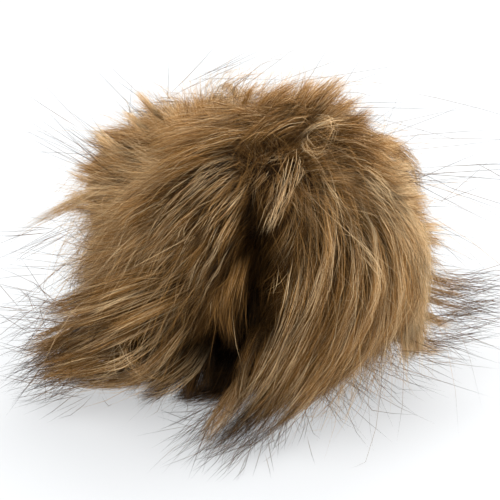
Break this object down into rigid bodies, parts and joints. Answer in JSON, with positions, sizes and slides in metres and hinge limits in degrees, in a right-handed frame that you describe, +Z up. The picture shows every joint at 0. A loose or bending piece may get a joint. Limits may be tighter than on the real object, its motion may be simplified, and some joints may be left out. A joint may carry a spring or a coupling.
{
  "type": "faux fur pom pom",
  "caption": "Soft round pom pom of long brown fur pile with dark tips, parted in front, lying on a small flat spot, to sew or clip on as trimming.",
  "frame": {"origin": "middle of the bounding box, on the surface that the pom pom rests on", "axes": "+Z up, front with the parting towards -Y, +X to the right as seen from the front, along the longest side of the box"},
  "size_m": [0.1668, 0.1323, 0.1048],
  "materials": {
    "fur_pile": "long soft faux fur pile, golden brown with lighter streaks, dark brown in the parting and dark grey to black at the tips of the guard hairs, slight sheen"
  },
  "bodies": {
    "root": {"fur_ball": "fur_pile"}
  },
  "joints": []
}
